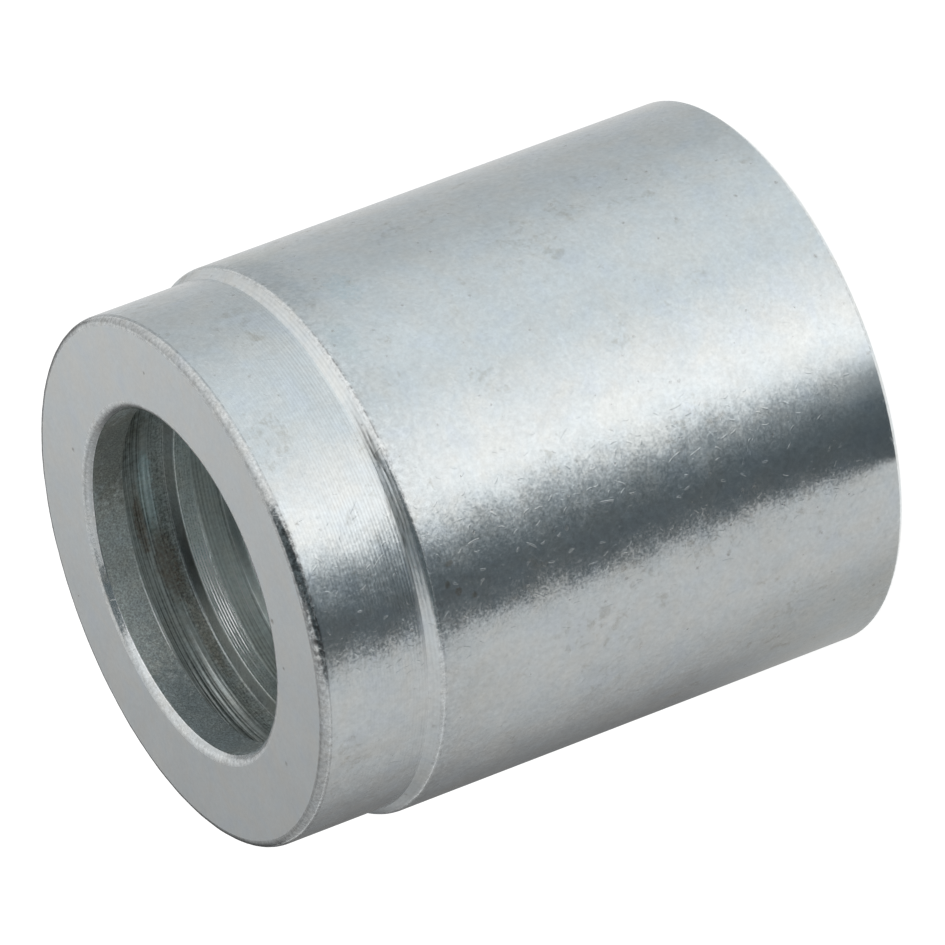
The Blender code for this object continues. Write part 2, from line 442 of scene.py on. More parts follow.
def makePlatedOutside(s, sizes):
    material, tree, shader, spot, chart, edge = startFinish("platedOutside", s)
    length = sizes["length"]
    height = node(tree, "ShaderNodeSeparateXYZ", {0: spot}).outputs["Z"]
    depth = calc(tree, "SUBTRACT", length, height)
    rampStart = sizes["collarLength"]
    onRamp = band(tree, depth, rampStart - 0.15, rampStart + 0.45, 0.12)
    onBody = remap(tree, depth, rampStart + 0.3, rampStart + 0.6, 0.0, 1.0, True)
    nearShoulder = remap(tree, depth, 1.5, rampStart, 0.25, 1.0)
    onCollar = calc(tree, "MULTIPLY", nearShoulder, calc(tree, "SUBTRACT", 1.0, onBody))
    side = sideAngle(tree, spot)
    clear = remap(tree, band(tree, side, -24.0, 48.0, 16.0), 0.0, 1.0, 0.22, 1.0)
    onCollar = calc(tree, "MULTIPLY", onCollar, clear)
    markHeight = calc(tree, "MULTIPLY_ADD", onCollar, s["collarMarks"], s["bodyMarks"])
    tornSide = band(tree, side, -13.0, 15.0, 8.0)
    rampMarks = calc(tree, "MULTIPLY_ADD", tornSide, s["tornMarks"], s["rampMarks"])
    markHeight = calc(tree, "MULTIPLY_ADD", onRamp, rampMarks, markHeight)
    onFoot = calc(tree, "MULTIPLY", band(tree, depth, rampStart - 0.35, rampStart, 0.08), clear)
    markHeight = calc(tree, "MULTIPLY_ADD", onFoot, s["footMarks"], markHeight)
    marks = useGroup(tree, toolMarks, Spot=spot, Travel=depth, Pitch=s["markPitch"],
                     Height=markHeight, Patchiness=0.5)
    cloud = useGroup(tree, plateCloud, Spot=spot, Shade=s["shade"], Hue=s["hue"])
    short = useGroup(tree, nickMarks, Chart=chart, Density=1.15, Length=0.32, Width=0.050,
                     Spread=2.4, Chance=0.50)
    tiny = useGroup(tree, nickMarks, Chart=chart, Density=2.6, Length=0.17, Width=0.040,
                    Spread=3.0, Chance=0.50)
    long = useGroup(tree, nickMarks, Chart=chart, Density=0.38, Length=0.8, Width=0.045,
                    Spread=1.8, Chance=0.22)
    pits = useGroup(tree, specks, Spot=spot, Density=1.5, Size=0.22, Chance=0.22)["Mask"]
    dull = useGroup(tree, smudges, Spot=spot, Scale=1.5, Cover=0.42, Gather=0.30)["Mask"]
    worn = useGroup(tree, edgeWear, Edge=edge, Spot=spot, Grain=4.0, Amount=0.14)["Mask"]

    color = mixColor(tree, 1.0, s["color"], cloud["Tint"], "MULTIPLY")
    mottle = remap(tree, noise(tree, spot, 4.2, 3.0, 0.62), 0.3, 0.7, -s["mottle"], s["mottle"])
    # Light and dark of the collar's tool lines painted into the colour as reflection, mostly on the
    # camera's side
    tone = calc(tree, "MULTIPLY", marks["Tone"], calc(tree, "MULTIPLY", onCollar, s["markToneAndSheen"]))
    shade = calc(tree, "ADD", 1.0, calc(tree, "ADD", mottle, tone))
    # Torn lines across the ramp, their dark streaks a painted reflection on the camera's side; painted
    # shade and highlight on the ramp; darker along the collar's edge and painted shade on the shoulder's
    # top corner; grime behind the shoulder
    torn = calc(tree, "MULTIPLY", sideways(tree, spot, 0.5, 7.0, 3.0), tornSide)
    torn = calc(tree, "MULTIPLY", calc(tree, "MINIMUM", torn, 0.0), onRamp)
    shade = calc(tree, "MULTIPLY_ADD", torn, s["rampPaintedStreaks"], shade)
    # Painted shade on the ramp beyond -56 degrees, and a painted highlight between 18 and 34 degrees
    rampPaintedShading = remap(tree, side, -72.0, -56.0, s["rampPaintedShading"][0], 0.0)
    rampPaintedHighlight = calc(tree, "MULTIPLY", band(tree, side, 18.0, 34.0, 10.0), s["rampPaintedShading"][1])
    shade = calc(tree, "MULTIPLY_ADD", onRamp, calc(tree, "ADD", rampPaintedShading, rampPaintedHighlight), shade)
    ragged = remap(tree, noise(tree, spot, 5.0, 4.0, 0.7), 0.36, 0.64, -1.0, 1.0)
    blotch = remap(tree, noise(tree, spot, 3.4, 4.0, 0.7), 0.40, 0.56, 0.0, 1.0)
    # Painted shade on the shoulder's top corner, on the camera's side
    paintedShadeCorner = band(tree, depth, rampStart + 0.60, rampStart + 0.66, 0.05)
    paintedShadeCorner = calc(tree, "MULTIPLY", paintedShadeCorner, band(tree, side, -8.0, 42.0, 8.0))
    atEdge = calc(tree, "MULTIPLY", band(tree, depth, 0.04, 0.5, 0.1), band(tree, side, -29.0, 8.0, 6.0))
    edgeAndCornerDarkening = calc(tree, "MULTIPLY", calc(tree, "MAXIMUM", atEdge, paintedShadeCorner), blotch)
    shade = calc(tree, "MULTIPLY_ADD", edgeAndCornerDarkening, calc(tree, "MULTIPLY", s["edgeDarkening"], -1.0), shade)
    behind = remap(tree, depth, rampStart + 0.8, rampStart + 4.5, 1.0, 0.0)
    behind = calc(tree, "MULTIPLY", behind, remap(tree, depth, rampStart + 0.5, rampStart + 0.7))
    behind = calc(tree, "MULTIPLY", calc(tree, "MULTIPLY", behind, behind), blotch)
    shade = calc(tree, "MULTIPLY_ADD", behind, calc(tree, "MULTIPLY", s["footGrime"], -1.0), shade)
    flat = vectorCalc(tree, "LENGTH", vectorCalc(tree, "MULTIPLY", spot, (1.0, 1.0, 0.0)), output="Value")
    inMouth = calc(tree, "LESS_THAN", flat, sizes["grooveRadius"])
    outerEdge = calc(tree, "MULTIPLY", edge, calc(tree, "SUBTRACT", 1.0, inMouth))
    # Painted shade on the rounded outer edges, more away from the camera's side, less past 2 mm depth
    edgePaintedShade = remap(tree, band(tree, side, -24.0, 26.0, 14.0), 0.0, 1.0, *s["edgePaintedShade"])
    edgePaintedShade = remap(tree, depth, 1.0, 2.0, edgePaintedShade, s["shoulderEdgePaintedShade"])
    shade = calc(tree, "SUBTRACT", shade, calc(tree, "MULTIPLY", outerEdge, edgePaintedShade))
    # Painted shade on the mouth's rounding between 62 and 168 degrees, deeper towards the bore
    inMouth = calc(tree, "MULTIPLY", inMouth, band(tree, side, 62.0, 168.0, 10.0))
    mouthPaintedShade = remap(tree, side, 112.0, 134.0, *s["mouthPaintedShade"])
    mouthPaintedShade = calc(tree, "MULTIPLY", mouthPaintedShade, remap(tree, depth, *s["mouthDepth"], 0.1, 1.3))
    shade = calc(tree, "SUBTRACT", shade, calc(tree, "MULTIPLY", inMouth, mouthPaintedShade))
    edgeRagged = calc(tree, "MULTIPLY", ragged, edge)
    shade = calc(tree, "MULTIPLY_ADD", edgeRagged, s["edgeTone"], shade)
    color = vectorCalc(tree, "SCALE", color, Scale=shade)
    dulled = mixColor(tree, 1.0, color, s["smudgeColor"], "MULTIPLY")
    color = mixColor(tree, dull, color, dulled)
    color = addStains(tree, color, spot, s["stains"], sizes["bodyRadius"], length)
    color = mixColor(tree, calc(tree, "MULTIPLY", pits, 0.8), color, s["pitColor"])
    color = mixColor(tree, worn, color, s["brightColor"])

    grain = noise(tree, spot, 6.0, 4.0, 0.7)
    peel = noise(tree, spot, 1.1, 2.0, 0.5)
    surface = calc(tree, "MULTIPLY_ADD", grain, s["grainHeight"], marks["Height"])
    surface = calc(tree, "MULTIPLY_ADD", peel, s["peelHeight"], surface)
    cut = calc(tree, "ADD", short["Mask"], calc(tree, "MULTIPLY", tiny["Mask"], 0.35))
    cut = calc(tree, "ADD", cut, calc(tree, "MULTIPLY", long["Mask"], 1.2))
    surface = calc(tree, "MULTIPLY_ADD", cut, -s["nickHeight"], surface)
    surface = calc(tree, "MULTIPLY_ADD", pits, -0.006, surface)

    lineLean = remap(tree, onCollar, 0.0, 1.0, s["bodyLean"], s["collarLean"])
    lean = calc(tree, "MULTIPLY", sideways(tree, spot, 1.2, 6.5), lineLean)
    lean = calc(tree, "MULTIPLY_ADD", sideways(tree, spot, 7.0, 7.0, 3.0), s["grainLean"], lean)
    lean = calc(tree, "MULTIPLY_ADD", sideways(tree, spot, 0.6, 0.6, 3.0), s["waveLean"], lean)
    combed = calc(tree, "MULTIPLY", marks["Tone"], onCollar)
    lean = calc(tree, "MULTIPLY_ADD", combed, s["markLean"], lean)
    roughness = calc(tree, "MULTIPLY_ADD", cloud["Cloud"], 0.02, s["roughness"])
    roughness = calc(tree, "MULTIPLY_ADD", dull, 0.05, roughness)
    roughness = calc(tree, "MULTIPLY_ADD", pits, 0.2, roughness)
    roughness = calc(tree, "MULTIPLY_ADD", onRamp, s["rampRoughness"], roughness)
    finishSurface(tree, shader, color, roughness, surface, spot, lean)
    return material


facedEnds = {
    "color": (0.660, 0.685, 0.690, 1.0),
    "specular": 0.5,
    "roughness": 0.42,
    "markPitch": 0.12,
    "markHeight": 0.0004,
    "shade": 0.035,
    "hue": 0.3,
    "grainHeight": 0.006,
    "grainTone": 0.035,
    "pitColor": (0.30, 0.29, 0.27, 1.0),
}


def makeFacedEnds(s):
    material, tree, shader, spot, chart, edge = startFinish("facedEnds", s)
    flat = vectorCalc(tree, "MULTIPLY", spot, (1.0, 1.0, 0.0))
    radius = vectorCalc(tree, "LENGTH", flat, output="Value")
    marks = useGroup(tree, toolMarks, Spot=spot, Travel=radius, Pitch=s["markPitch"],
                     Height=s["markHeight"], Patchiness=0.7)
    cloud = useGroup(tree, plateCloud, Spot=spot, Shade=s["shade"], Hue=s["hue"])
    pits = useGroup(tree, specks, Spot=spot, Density=0.9, Size=0.16, Chance=0.2)["Mask"]
    color = mixColor(tree, 1.0, s["color"], cloud["Tint"], "MULTIPLY")
    color = mixColor(tree, pits, color, s["pitColor"])
    grain = noise(tree, spot, 5.0, 4.0, 0.75)
    shade = remap(tree, grain, 0.35, 0.65, 1.0 - s["grainTone"], 1.0 + s["grainTone"])
    color = vectorCalc(tree, "SCALE", color, Scale=shade)
    surface = calc(tree, "MULTIPLY_ADD", grain, s["grainHeight"], marks["Height"])
    surface = calc(tree, "MULTIPLY_ADD", pits, -0.02, surface)
    roughness = calc(tree, "MULTIPLY_ADD", cloud["Cloud"], 0.03, s["roughness"])
    finishSurface(tree, shader, color, roughness, surface, spot, 0.0)
    return material


boredInside = {
    "color": (0.630, 0.672, 0.662, 1.0),
    "specular": 0.5,
    "roughness": 0.46,
    "lipRoughness": 0.08,
    "crestRoughness": -0.06,
    "backRoughness": -0.14,
    "linePitch": 0.19,
    "lineHeight": 0.005,
    "lineTone": 0.20,
    "lineRise": 0.10,
    "gleams": [  # depths, degrees round, and how far each part faces up
        (2.60, 4.05, 206.0, 242.0, 0.24),
        (3.33, 3.40, 196.0, 226.0, 0.12),
        (3.64, 4.02, 194.0, 224.0, 0.14),
        (3.78, 3.90, 196.0, 220.0, 0.12),
        (3.50, 4.15, 142.0, 163.0, 0.24),
        (4.88, 4.94, 192.0, 222.0, 0.80),
        (2.52, 2.58, 184.0, 196.0, 0.70),
        (1.92, 2.02, 170.0, 198.0, 0.90),
    ],
    "cutTone": 0.42,
    "cuts": [  # depth and width of the tool's deeper lines
        (2.66, 0.030),
        (2.76, 0.022),
        (2.87, 0.040),
        (2.98, 0.020),
        (3.12, 0.040),
        (3.24, 0.020),
        (3.48, 0.045),
        (3.60, 0.020),
        (4.14, 0.030),
        (4.30, 0.022),
        (6.55, 0.035),
        (6.73, 0.050),
        (6.95, 0.045),
        (7.16, 0.020),
        (7.58, 0.045),
    ],
    "grooveTone": -0.06,
    # painted shade on the rings' front flanks
    "flankPaintedShade": 0.72,
    "ribPitch": 0.145,
    # tone of the crest ribs, with painted glints
    "ribToneAndGlint": 0.50,
    "ribRise": 1.00,
    "backRise": (0.85, 1.10),
    "paintedLightSide": (188.0, 18.0),  # degrees, and how far it falls off: painted highlight on that side of the bore
    # painted highlight on the rings of the lit side
    "ringPaintedHighlight": 0.40,
    "crestTone": 0.16,
    # painted highlight in the groove on the lit side
    "deepPaintedLight": (0.06, 0.46),
    "deepRise": 0.08,
    "shade": 0.10,
    "hue": 0.35,
    "grainHeight": 0.023,
    "grainTone": 0.29,
    "speckTone": 0.30,
    "mottleTone": 0.14,
    "tornTone": 0.30,
    "tornPlace": (4.15, 5.05),
    "streakTone": 0.90,
    "brightColor": (0.86, 0.87, 0.87, 1.0),
    "stains": [
        (160.0, 3.20, 1.9, 0.32, (0.62, 0.53, 0.48), 0.45),
        (173.0, 4.05, 2.2, 0.70, (0.60, 0.52, 0.47), 0.45),
        (192.0, 4.50, 3.8, 0.36, (0.82, 0.76, 0.71), 0.3),
        (152.0, 3.82, 2.6, 0.48, (1.06, 1.20, 1.24), 0.2),
        # painted shade rather than a stain: the lip darker on this side
        (234.0, 1.10, 6.8, 1.60, (0.64, 0.68, 0.71), 0.0),
        (122.0, 1.50, 4.4, 2.40, (0.60, 0.58, 0.55), 0.0),
    ],
}


def makeBoredInside(s, sizes):
    material, tree, shader, spot, chart, edge = startFinish("boredInside", s)
    length = sizes["length"]
    height = node(tree, "ShaderNodeSeparateXYZ", {0: spot}).outputs["Z"]
    depth = calc(tree, "SUBTRACT", length, height)
    lipEnd = sizes["lipLength"] + sizes["lipBack"] / 2
    onLip = remap(tree, depth, lipEnd + 0.1, lipEnd - 0.1, 0.0, 1.0, True)
    offLip = calc(tree, "SUBTRACT", 1.0, onLip)
    ringPlace = calc(tree, "SUBTRACT", depth, ringStarts(sizes)[0] - 0.12)
    pastFirst = calc(tree, "GREATER_THAN", ringPlace, 0.0)
    ringPlace = calc(tree, "FLOORED_MODULO", ringPlace, sizes["ringPitch"])
    crestStart = 0.12 + sizes["ringFront"]
    crestEnd = crestStart + sizes["ringCrest"]
    onFlank = calc(tree, "MULTIPLY", band(tree, ringPlace, 0.05, crestStart - 0.02, 0.03), pastFirst)
    onCrest = calc(tree, "MULTIPLY", band(tree, ringPlace, crestStart - 0.03, crestEnd, 0.05), pastFirst)
    onBack = band(tree, ringPlace, crestEnd, crestEnd + sizes["ringBack"], 0.06)
    onBack = calc(tree, "MULTIPLY", onBack, pastFirst)
    inGroove = calc(tree, "SUBTRACT", offLip, calc(tree, "ADD", onCrest, onBack))
    inGroove = calc(tree, "MAXIMUM", inGroove, 0.0)
    about = calc(tree, "FLOORED_MODULO", sideAngle(tree, spot), 360.0)
    # Weight of the painted lit side of the bore, 1 at 188 degrees round: the rings, groove, streaks and
    # worn edges are brighter there
    away = calc(tree, "DIVIDE", calc(tree, "SUBTRACT", about, s["paintedLightSide"][0]), s["paintedLightSide"][1])
    paintedLightWeight = calc(tree, "EXPONENT", calc(tree, "MULTIPLY", calc(tree, "MULTIPLY", away, away), -1.0))
    bright = remap(tree, paintedLightWeight, 0.0, 1.0, 0.12, 1.0)

    lineHeight = calc(tree, "MULTIPLY", inGroove, s["lineHeight"])
    marks = useGroup(tree, toolMarks, Spot=spot, Travel=depth, Pitch=s["linePitch"],
                     Height=lineHeight, Patchiness=0.6)
    cloud = useGroup(tree, plateCloud, Spot=spot, Shade=s["shade"], Hue=s["hue"])
    worn = useGroup(tree, edgeWear, Edge=edge, Spot=spot, Grain=6.0, Amount=0.5)["Mask"]

    # Groove: faint lines all over, dark cuts of uneven spacing near the lip, and fine mottle
    shade = calc(tree, "MULTIPLY_ADD", calc(tree, "MULTIPLY", marks["Tone"], inGroove), s["lineTone"], 1.0)
    lines = sideways(tree, spot, 0.07, 7.0, 2.0)
    waver = calc(tree, "SUBTRACT", noise(tree, spot, 0.10, 2.0), 0.5)
    waver = calc(tree, "MULTIPLY_ADD", waver, 0.16, depth)
    cuts = calc(tree, "MULTIPLY", calc(tree, "MINIMUM", lines, 0.0), -0.7)
    for place, width in s["cuts"]:
        far = calc(tree, "DIVIDE", calc(tree, "SUBTRACT", waver, place), width)
        cut = calc(tree, "EXPONENT", calc(tree, "MULTIPLY", calc(tree, "MULTIPLY", far, far), -1.0))
        cuts = calc(tree, "ADD", cuts, cut)
    patchy = remap(tree, noise(tree, spot, 0.28, 2.0), 0.35, 0.62, 0.45, 1.1)
    clear = remap(tree, remap(tree, about, 170.0, 190.0, pastFirst, 0.0), 0.0, 1.0, 1.0, 0.45)
    cuts = calc(tree, "MULTIPLY", calc(tree, "MULTIPLY", cuts, patchy), clear)
    cuts = calc(tree, "MULTIPLY", cuts, inGroove)
    shade = calc(tree, "MULTIPLY_ADD", cuts, -s["cutTone"], shade)
    mottle = remap(tree, noise(tree, spot, 5.0, 4.0, 0.75), 0.34, 0.66, -1.0, 1.0)
    shade = calc(tree, "MULTIPLY_ADD", calc(tree, "MULTIPLY", mottle, offLip), s["mottleTone"], shade)
    torn = remap(tree, noise(tree, spot, 8.0, 3.0, 0.7), 0.38, 0.62, -1.0, 0.8)
    torn = calc(tree, "MULTIPLY", torn, band(tree, depth, *s["tornPlace"], 0.25))
    shade = calc(tree, "MULTIPLY_ADD", torn, s["tornTone"], shade)
    # Painted highlight: the groove past the first ring lighter on the lit side
    deepPaintedLight = remap(tree, paintedLightWeight, 0.0, 1.0, *s["deepPaintedLight"])
    grooveTone = remap(tree, pastFirst, 0.0, 1.0, s["grooveTone"], deepPaintedLight)
    shade = calc(tree, "MULTIPLY_ADD", inGroove, grooveTone, shade)

    # Lip, and the rings less: sharp grain with bright flecks
    grainy = calc(tree, "MULTIPLY_ADD", onCrest, 0.8, onLip)
    flecks = remap(tree, noise(tree, spot, 7.5, 3.0, 0.7), 0.5, 0.72, 0.0, 1.0, True)
    shade = calc(tree, "MULTIPLY_ADD", calc(tree, "MULTIPLY", flecks, grainy), s["speckTone"], shade)
    salt = remap(tree, noise(tree, spot, 11.0, 2.0, 0.6), 0.32, 0.68, -1.0, 1.0)
    shade = calc(tree, "MULTIPLY_ADD", calc(tree, "MULTIPLY", salt, grainy), s["grainTone"], shade)

    # Rings: painted shade on the front flank, thin ribs on the crest with painted glints, and streaks along
    # the axis behind it, brighter on the painted lit side
    ribs = calc(tree, "DIVIDE", calc(tree, "SUBTRACT", ringPlace, crestStart), s["ribPitch"])
    ribs = calc(tree, "COSINE", calc(tree, "MULTIPLY", ribs, math.tau))
    broken = remap(tree, sideways(tree, spot, 0.8, 6.0, 3.0), -0.8, 0.4, 0.1, 1.0)
    ribs = calc(tree, "MULTIPLY", calc(tree, "MULTIPLY", ribs, broken), onCrest)
    ribs = calc(tree, "MULTIPLY", ribs, remap(tree, paintedLightWeight, 0.0, 1.0, 0.2, 1.0))
    shade = calc(tree, "MULTIPLY_ADD", ribs, s["ribToneAndGlint"], shade)
    shade = calc(tree, "MULTIPLY_ADD", onCrest, s["crestTone"], shade)
    rise = calc(tree, "MULTIPLY", calc(tree, "MAXIMUM", ribs, 0.0), s["ribRise"])
    rise = calc(tree, "MULTIPLY_ADD", calc(tree, "MULTIPLY", lines, inGroove), s["lineRise"], rise)
    deep = calc(tree, "MULTIPLY", calc(tree, "MULTIPLY", paintedLightWeight, pastFirst), inGroove)
    rise = calc(tree, "MULTIPLY_ADD", deep, s["deepRise"], rise)
    gleamBreak = remap(tree, lines, -1.0, 0.6, 0.5, 1.0)
    for start, end, first, last, amount in s["gleams"]:
        across = band(tree, depth, start, end, 0.04)
        gleam = calc(tree, "MULTIPLY", across, band(tree, about, first, last, 7.0))
        rise = calc(tree, "MULTIPLY_ADD", calc(tree, "MULTIPLY", gleam, gleamBreak), amount, rise)
    streaks = vectorCalc(tree, "MULTIPLY", spot, (4.2, 4.2, 0.3))
    streaks = remap(tree, noise(tree, streaks, 1.0, 3.0, 0.7), 0.42, 0.60, -0.6, 1.0)
    streaks = calc(tree, "MULTIPLY", streaks, onBack)
    streakLevel = remap(tree, paintedLightWeight, 0.0, 1.0, 0.35, 1.0)
    backRise = calc(tree, "MULTIPLY", onBack, s["backRise"][0])
    backRise = calc(tree, "MULTIPLY_ADD", streaks, s["backRise"][1], backRise)
    rise = calc(tree, "MULTIPLY_ADD", backRise, streakLevel, rise)
    shade = calc(tree, "MULTIPLY_ADD", calc(tree, "MULTIPLY", streaks, streakLevel), s["streakTone"], shade)
    # Painted highlight on the crests and back flanks of the lit side
    paintedLightWeight = calc(tree, "MULTIPLY", paintedLightWeight, calc(tree, "ADD", onCrest, onBack))
    shade = calc(tree, "MULTIPLY_ADD", paintedLightWeight, s["ringPaintedHighlight"], shade)
    # Painted shade on the rings' front flanks, deepest between 164 and 188 degrees and halved past 7 mm
    # depth
    paintedFlankShadeSide = remap(tree, band(tree, about, 164.0, 188.0, 13.0), 0.0, 1.0, 0.62, 1.0)
    paintedFlankShadeSide = calc(tree, "MULTIPLY", paintedFlankShadeSide, remap(tree, depth, 6.0, 7.0, 1.0, 0.5))
    dark = calc(tree, "MULTIPLY", calc(tree, "MULTIPLY", onFlank, paintedFlankShadeSide), s["flankPaintedShade"])
    shade = calc(tree, "MULTIPLY", shade, calc(tree, "SUBTRACT", 1.0, dark))

    color = mixColor(tree, 1.0, s["color"], cloud["Tint"], "MULTIPLY")
    color = vectorCalc(tree, "SCALE", color, Scale=shade)
    color = addStains(tree, color, spot, s["stains"], sizes["grooveRadius"], length)
    # Worn edges, their bright colour partly a painted glint, strongest on the lit side
    color = mixColor(tree, calc(tree, "MULTIPLY", worn, bright), color, s["brightColor"])
    color = vectorCalc(tree, "MINIMUM", color, (0.97, 0.97, 0.97))
    grain = noise(tree, spot, 8.0, 3.0, 0.75)
    grain = calc(tree, "MULTIPLY", grain, remap(tree, onLip, 0.0, 1.0, 0.25, 1.0))
    surface = calc(tree, "MULTIPLY_ADD", grain, s["grainHeight"], marks["Height"])
    roughness = calc(tree, "MULTIPLY_ADD", cloud["Cloud"], 0.05, s["roughness"])
    roughness = calc(tree, "MULTIPLY_ADD", onLip, s["lipRoughness"], roughness)
    roughness = calc(tree, "MULTIPLY_ADD", onCrest, s["crestRoughness"], roughness)
    roughness = calc(tree, "MULTIPLY_ADD", onBack, s["backRoughness"], roughness)
    lean = calc(tree, "MULTIPLY", streaks, 0.10)
    finishSurface(tree, shader, color, roughness, surface, spot, lean, rise)
    return material


# Section of the sleeve, walked down the outside and back up the bore

ferruleSizes = {
    "length": 32.5,
    "bodyRadius": 14.0,
    "collarRadius": 13.55,
    "collarLength": 5.83,
    "shoulderAngle": 38.0,
    "shoulderRound": 0.5,
    "shoulderFoot": 0.12,
    "collarEdgeRound": 0.45,
    "mouthRound": 0.5,
    "tailEdge": 0.22,
    "ringRadius": 9.25,
    "grooveRadius": 10.0,
    "lipRadius": 8.8,
    "lipLength": 2.0,
    "lipBack": 0.3,
    "mouthChamfer": 0.3,
    "lockGroove": 2.65,
    "ringFront": 0.2,
    "ringCrest": 0.83,
    "ringBack": 0.45,
    "ringPitch": 2.8,
    "tailRadius": 9.6,
    "tailBore": 4.9,
    "leadIn": 1.0,
    "leadInAngle": 30.0,
    "longestSpan": 1.6,
    "guard": 0.03,  # narrow strip beside each rounded corner, which keeps the flats flat
    "arcStep": 16.0,  # degrees
}

plated, facedOff, boredOut = 0, 1, 2


def ringStarts(s):
    first = s["lipLength"] + s["lipBack"] + s["lockGroove"]
    last = s["length"] - s["tailBore"] - s["ringFront"]
    ringLength = s["ringFront"] + s["ringCrest"] + s["ringBack"]
    count = math.floor((last - first - ringLength) / s["ringPitch"]) + 1
    return [first + index * s["ringPitch"] for index in range(count)]


def sectionCorners(s):
    # Radius, depth below the collar's face, rounding, and the zone of the span that follows
    length = s["length"]
    rampRun = (s["bodyRadius"] - s["collarRadius"]) / math.tan(math.radians(s["shoulderAngle"]))
    leadRun = s["leadIn"] / math.tan(math.radians(s["leadInAngle"]))
    tailStart = length - s["tailBore"]
    corners = [
        (s["collarRadius"], 0.0, s["collarEdgeRound"], plated),
        (s["collarRadius"], s["collarLength"], s["shoulderFoot"], plated),
        (s["bodyRadius"], s["collarLength"] + rampRun, s["shoulderRound"], plated),
        (s["bodyRadius"], length - s["tailEdge"], 0.10, plated),
        (s["bodyRadius"] - s["tailEdge"], length, 0.08, facedOff),
        (s["tailRadius"] + s["leadIn"], length, 0.08, boredOut),
        (s["tailRadius"], length - leadRun, 0.20, boredOut),
        (s["tailRadius"], tailStart, 0.06, boredOut),
        (s["grooveRadius"], tailStart - s["ringFront"], 0.06, boredOut),
    ]
    for front in reversed(ringStarts(s)):
        crestStart = front + s["ringFront"]
        crestEnd = crestStart + s["ringCrest"]
        corners += [
            (s["grooveRadius"], crestEnd + s["ringBack"], 0.08, boredOut),
            (s["ringRadius"], crestEnd, 0.04, boredOut),
            (s["ringRadius"], crestStart, 0.04, boredOut),
            (s["grooveRadius"], front, 0.06, boredOut),
        ]
    corners += [
        (s["grooveRadius"], s["lipLength"] + s["lipBack"], 0.12, boredOut),
        (s["lipRadius"], s["lipLength"], 0.07, boredOut),
        (s["lipRadius"], s["mouthChamfer"], 0.10, plated),
        (s["lipRadius"] + s["mouthChamfer"], 0.0, s["mouthRound"], facedOff),
    ]
    return corners


def roundedCorner(before, corner, after, radius, arcStep):
    # Points of the arc, and 1 for an outer corner or 0 for an inner one
    toward = (before - corner).normalized()
    onward = (after - corner).normalized()
    turn = math.pi - toward.angle(onward)
    reach = radius * math.tan(turn / 2)
    middle = (toward + onward).normalized()
    centre = corner + middle * (radius / math.cos(turn / 2))
    steps = max(2, math.ceil(math.degrees(turn) / arcStep))
    outward = corner + toward * reach - centre
    side = 1.0 if (corner - before).cross(after - corner) > 0 else -1.0
    points = []
    for index in range(steps + 1):
        angle = side * turn * index / steps
        points.append(centre + Matrix.Rotation(angle, 2) @ outward)
    return points, 1.0 if side > 0 else 0.0


def sectionRows(s):
    # Every row of the turned mesh: place, edge, zone and burr
    corners = sectionCorners(s)
    places = [Vector((radius, depth)) for radius, depth, *rest in corners]
    arcs = []
    for index, corner in enumerate(corners):
        before = places[index - 1]
        after = places[(index + 1) % len(places)]
        arcs.append(roundedCorner(before, places[index], after, corner[2], s["arcStep"]))
    rows = []
    for index, corner in enumerate(corners):
        zone = corner[3]
        points, outer = arcs[index]
        rough = 1.0 if index in (0, len(corners) - 1) else 0.0
        edgeZone = corners[index - 1][3] if zone == facedOff else zone
        for number, point in enumerate(points[:-1]):
            burr = rough * math.sin(math.pi * number / (len(points) - 1))
            rows.append((point, outer, edgeZone, burr))
        start = points[-1]
        end = arcs[(index + 1) % len(arcs)][0][0]
        span = end - start
        rows.append((start, outer, zone, 0.0))
        if span.length > 3 * s["guard"]:
            step = span.normalized() * s["guard"]
            inner = [start + step]
            inside = span - 2 * step
            count = math.ceil(inside.length / s["longestSpan"])
            inner += [start + step + inside * part / count for part in range(1, count)]
            inner.append(end - step)
            rows += [(point, 0.0, zone, 0.0) for point in inner]
    rows.append(rows[0])
    return rows


def makeSection(s):
    rows = sectionRows(s)
    mesh = bpy.data.meshes.new("ferruleSection")
    points = [Vector((row[0].x, 0.0, s["length"] - row[0].y)) for row in rows]
    links = [(index, index + 1) for index in range(len(points) - 1)]
    mesh.from_pydata([point * millimetre for point in points], links, [])
    travel = [0.0]
    for first, second in zip(points, points[1:]):
        travel.append(travel[-1] + (second - first).length)
    columns = {
        "travel": travel,
        "edge": [row[1] for row in rows],
        "zone": [float(row[2]) for row in rows],
        "burr": [row[3] for row in rows],
    }
    for name, values in columns.items():
        mesh.attributes.new(name, "FLOAT", "POINT").data.foreach_set("value", values)
    section = bpy.data.objects.new("platedFerrule", mesh)
    scene.collection.objects.link(section)
    return section


turning = {
    "Steps Around": 256,
    "Chart Width": math.tau * 14.0,  # millimetres round the body, for the unrolled map
    "Burr Height": 0.032,
    "Burr Grain": 1.5,
    "Wave Height": 0.004,
    "Seed": 7.0,
}


def sample(tree, section, name, row):
    source = node(tree, "GeometryNodeInputNamedAttribute", {"Name": name}, data_type="FLOAT")
    made = node(tree, "GeometryNodeSampleIndex", data_type="FLOAT", domain="POINT")
    setInputs(tree, made, {"Geometry": section, "Value": source.outputs["Attribute"], "Index": row})
    return made.outputs["Value"]


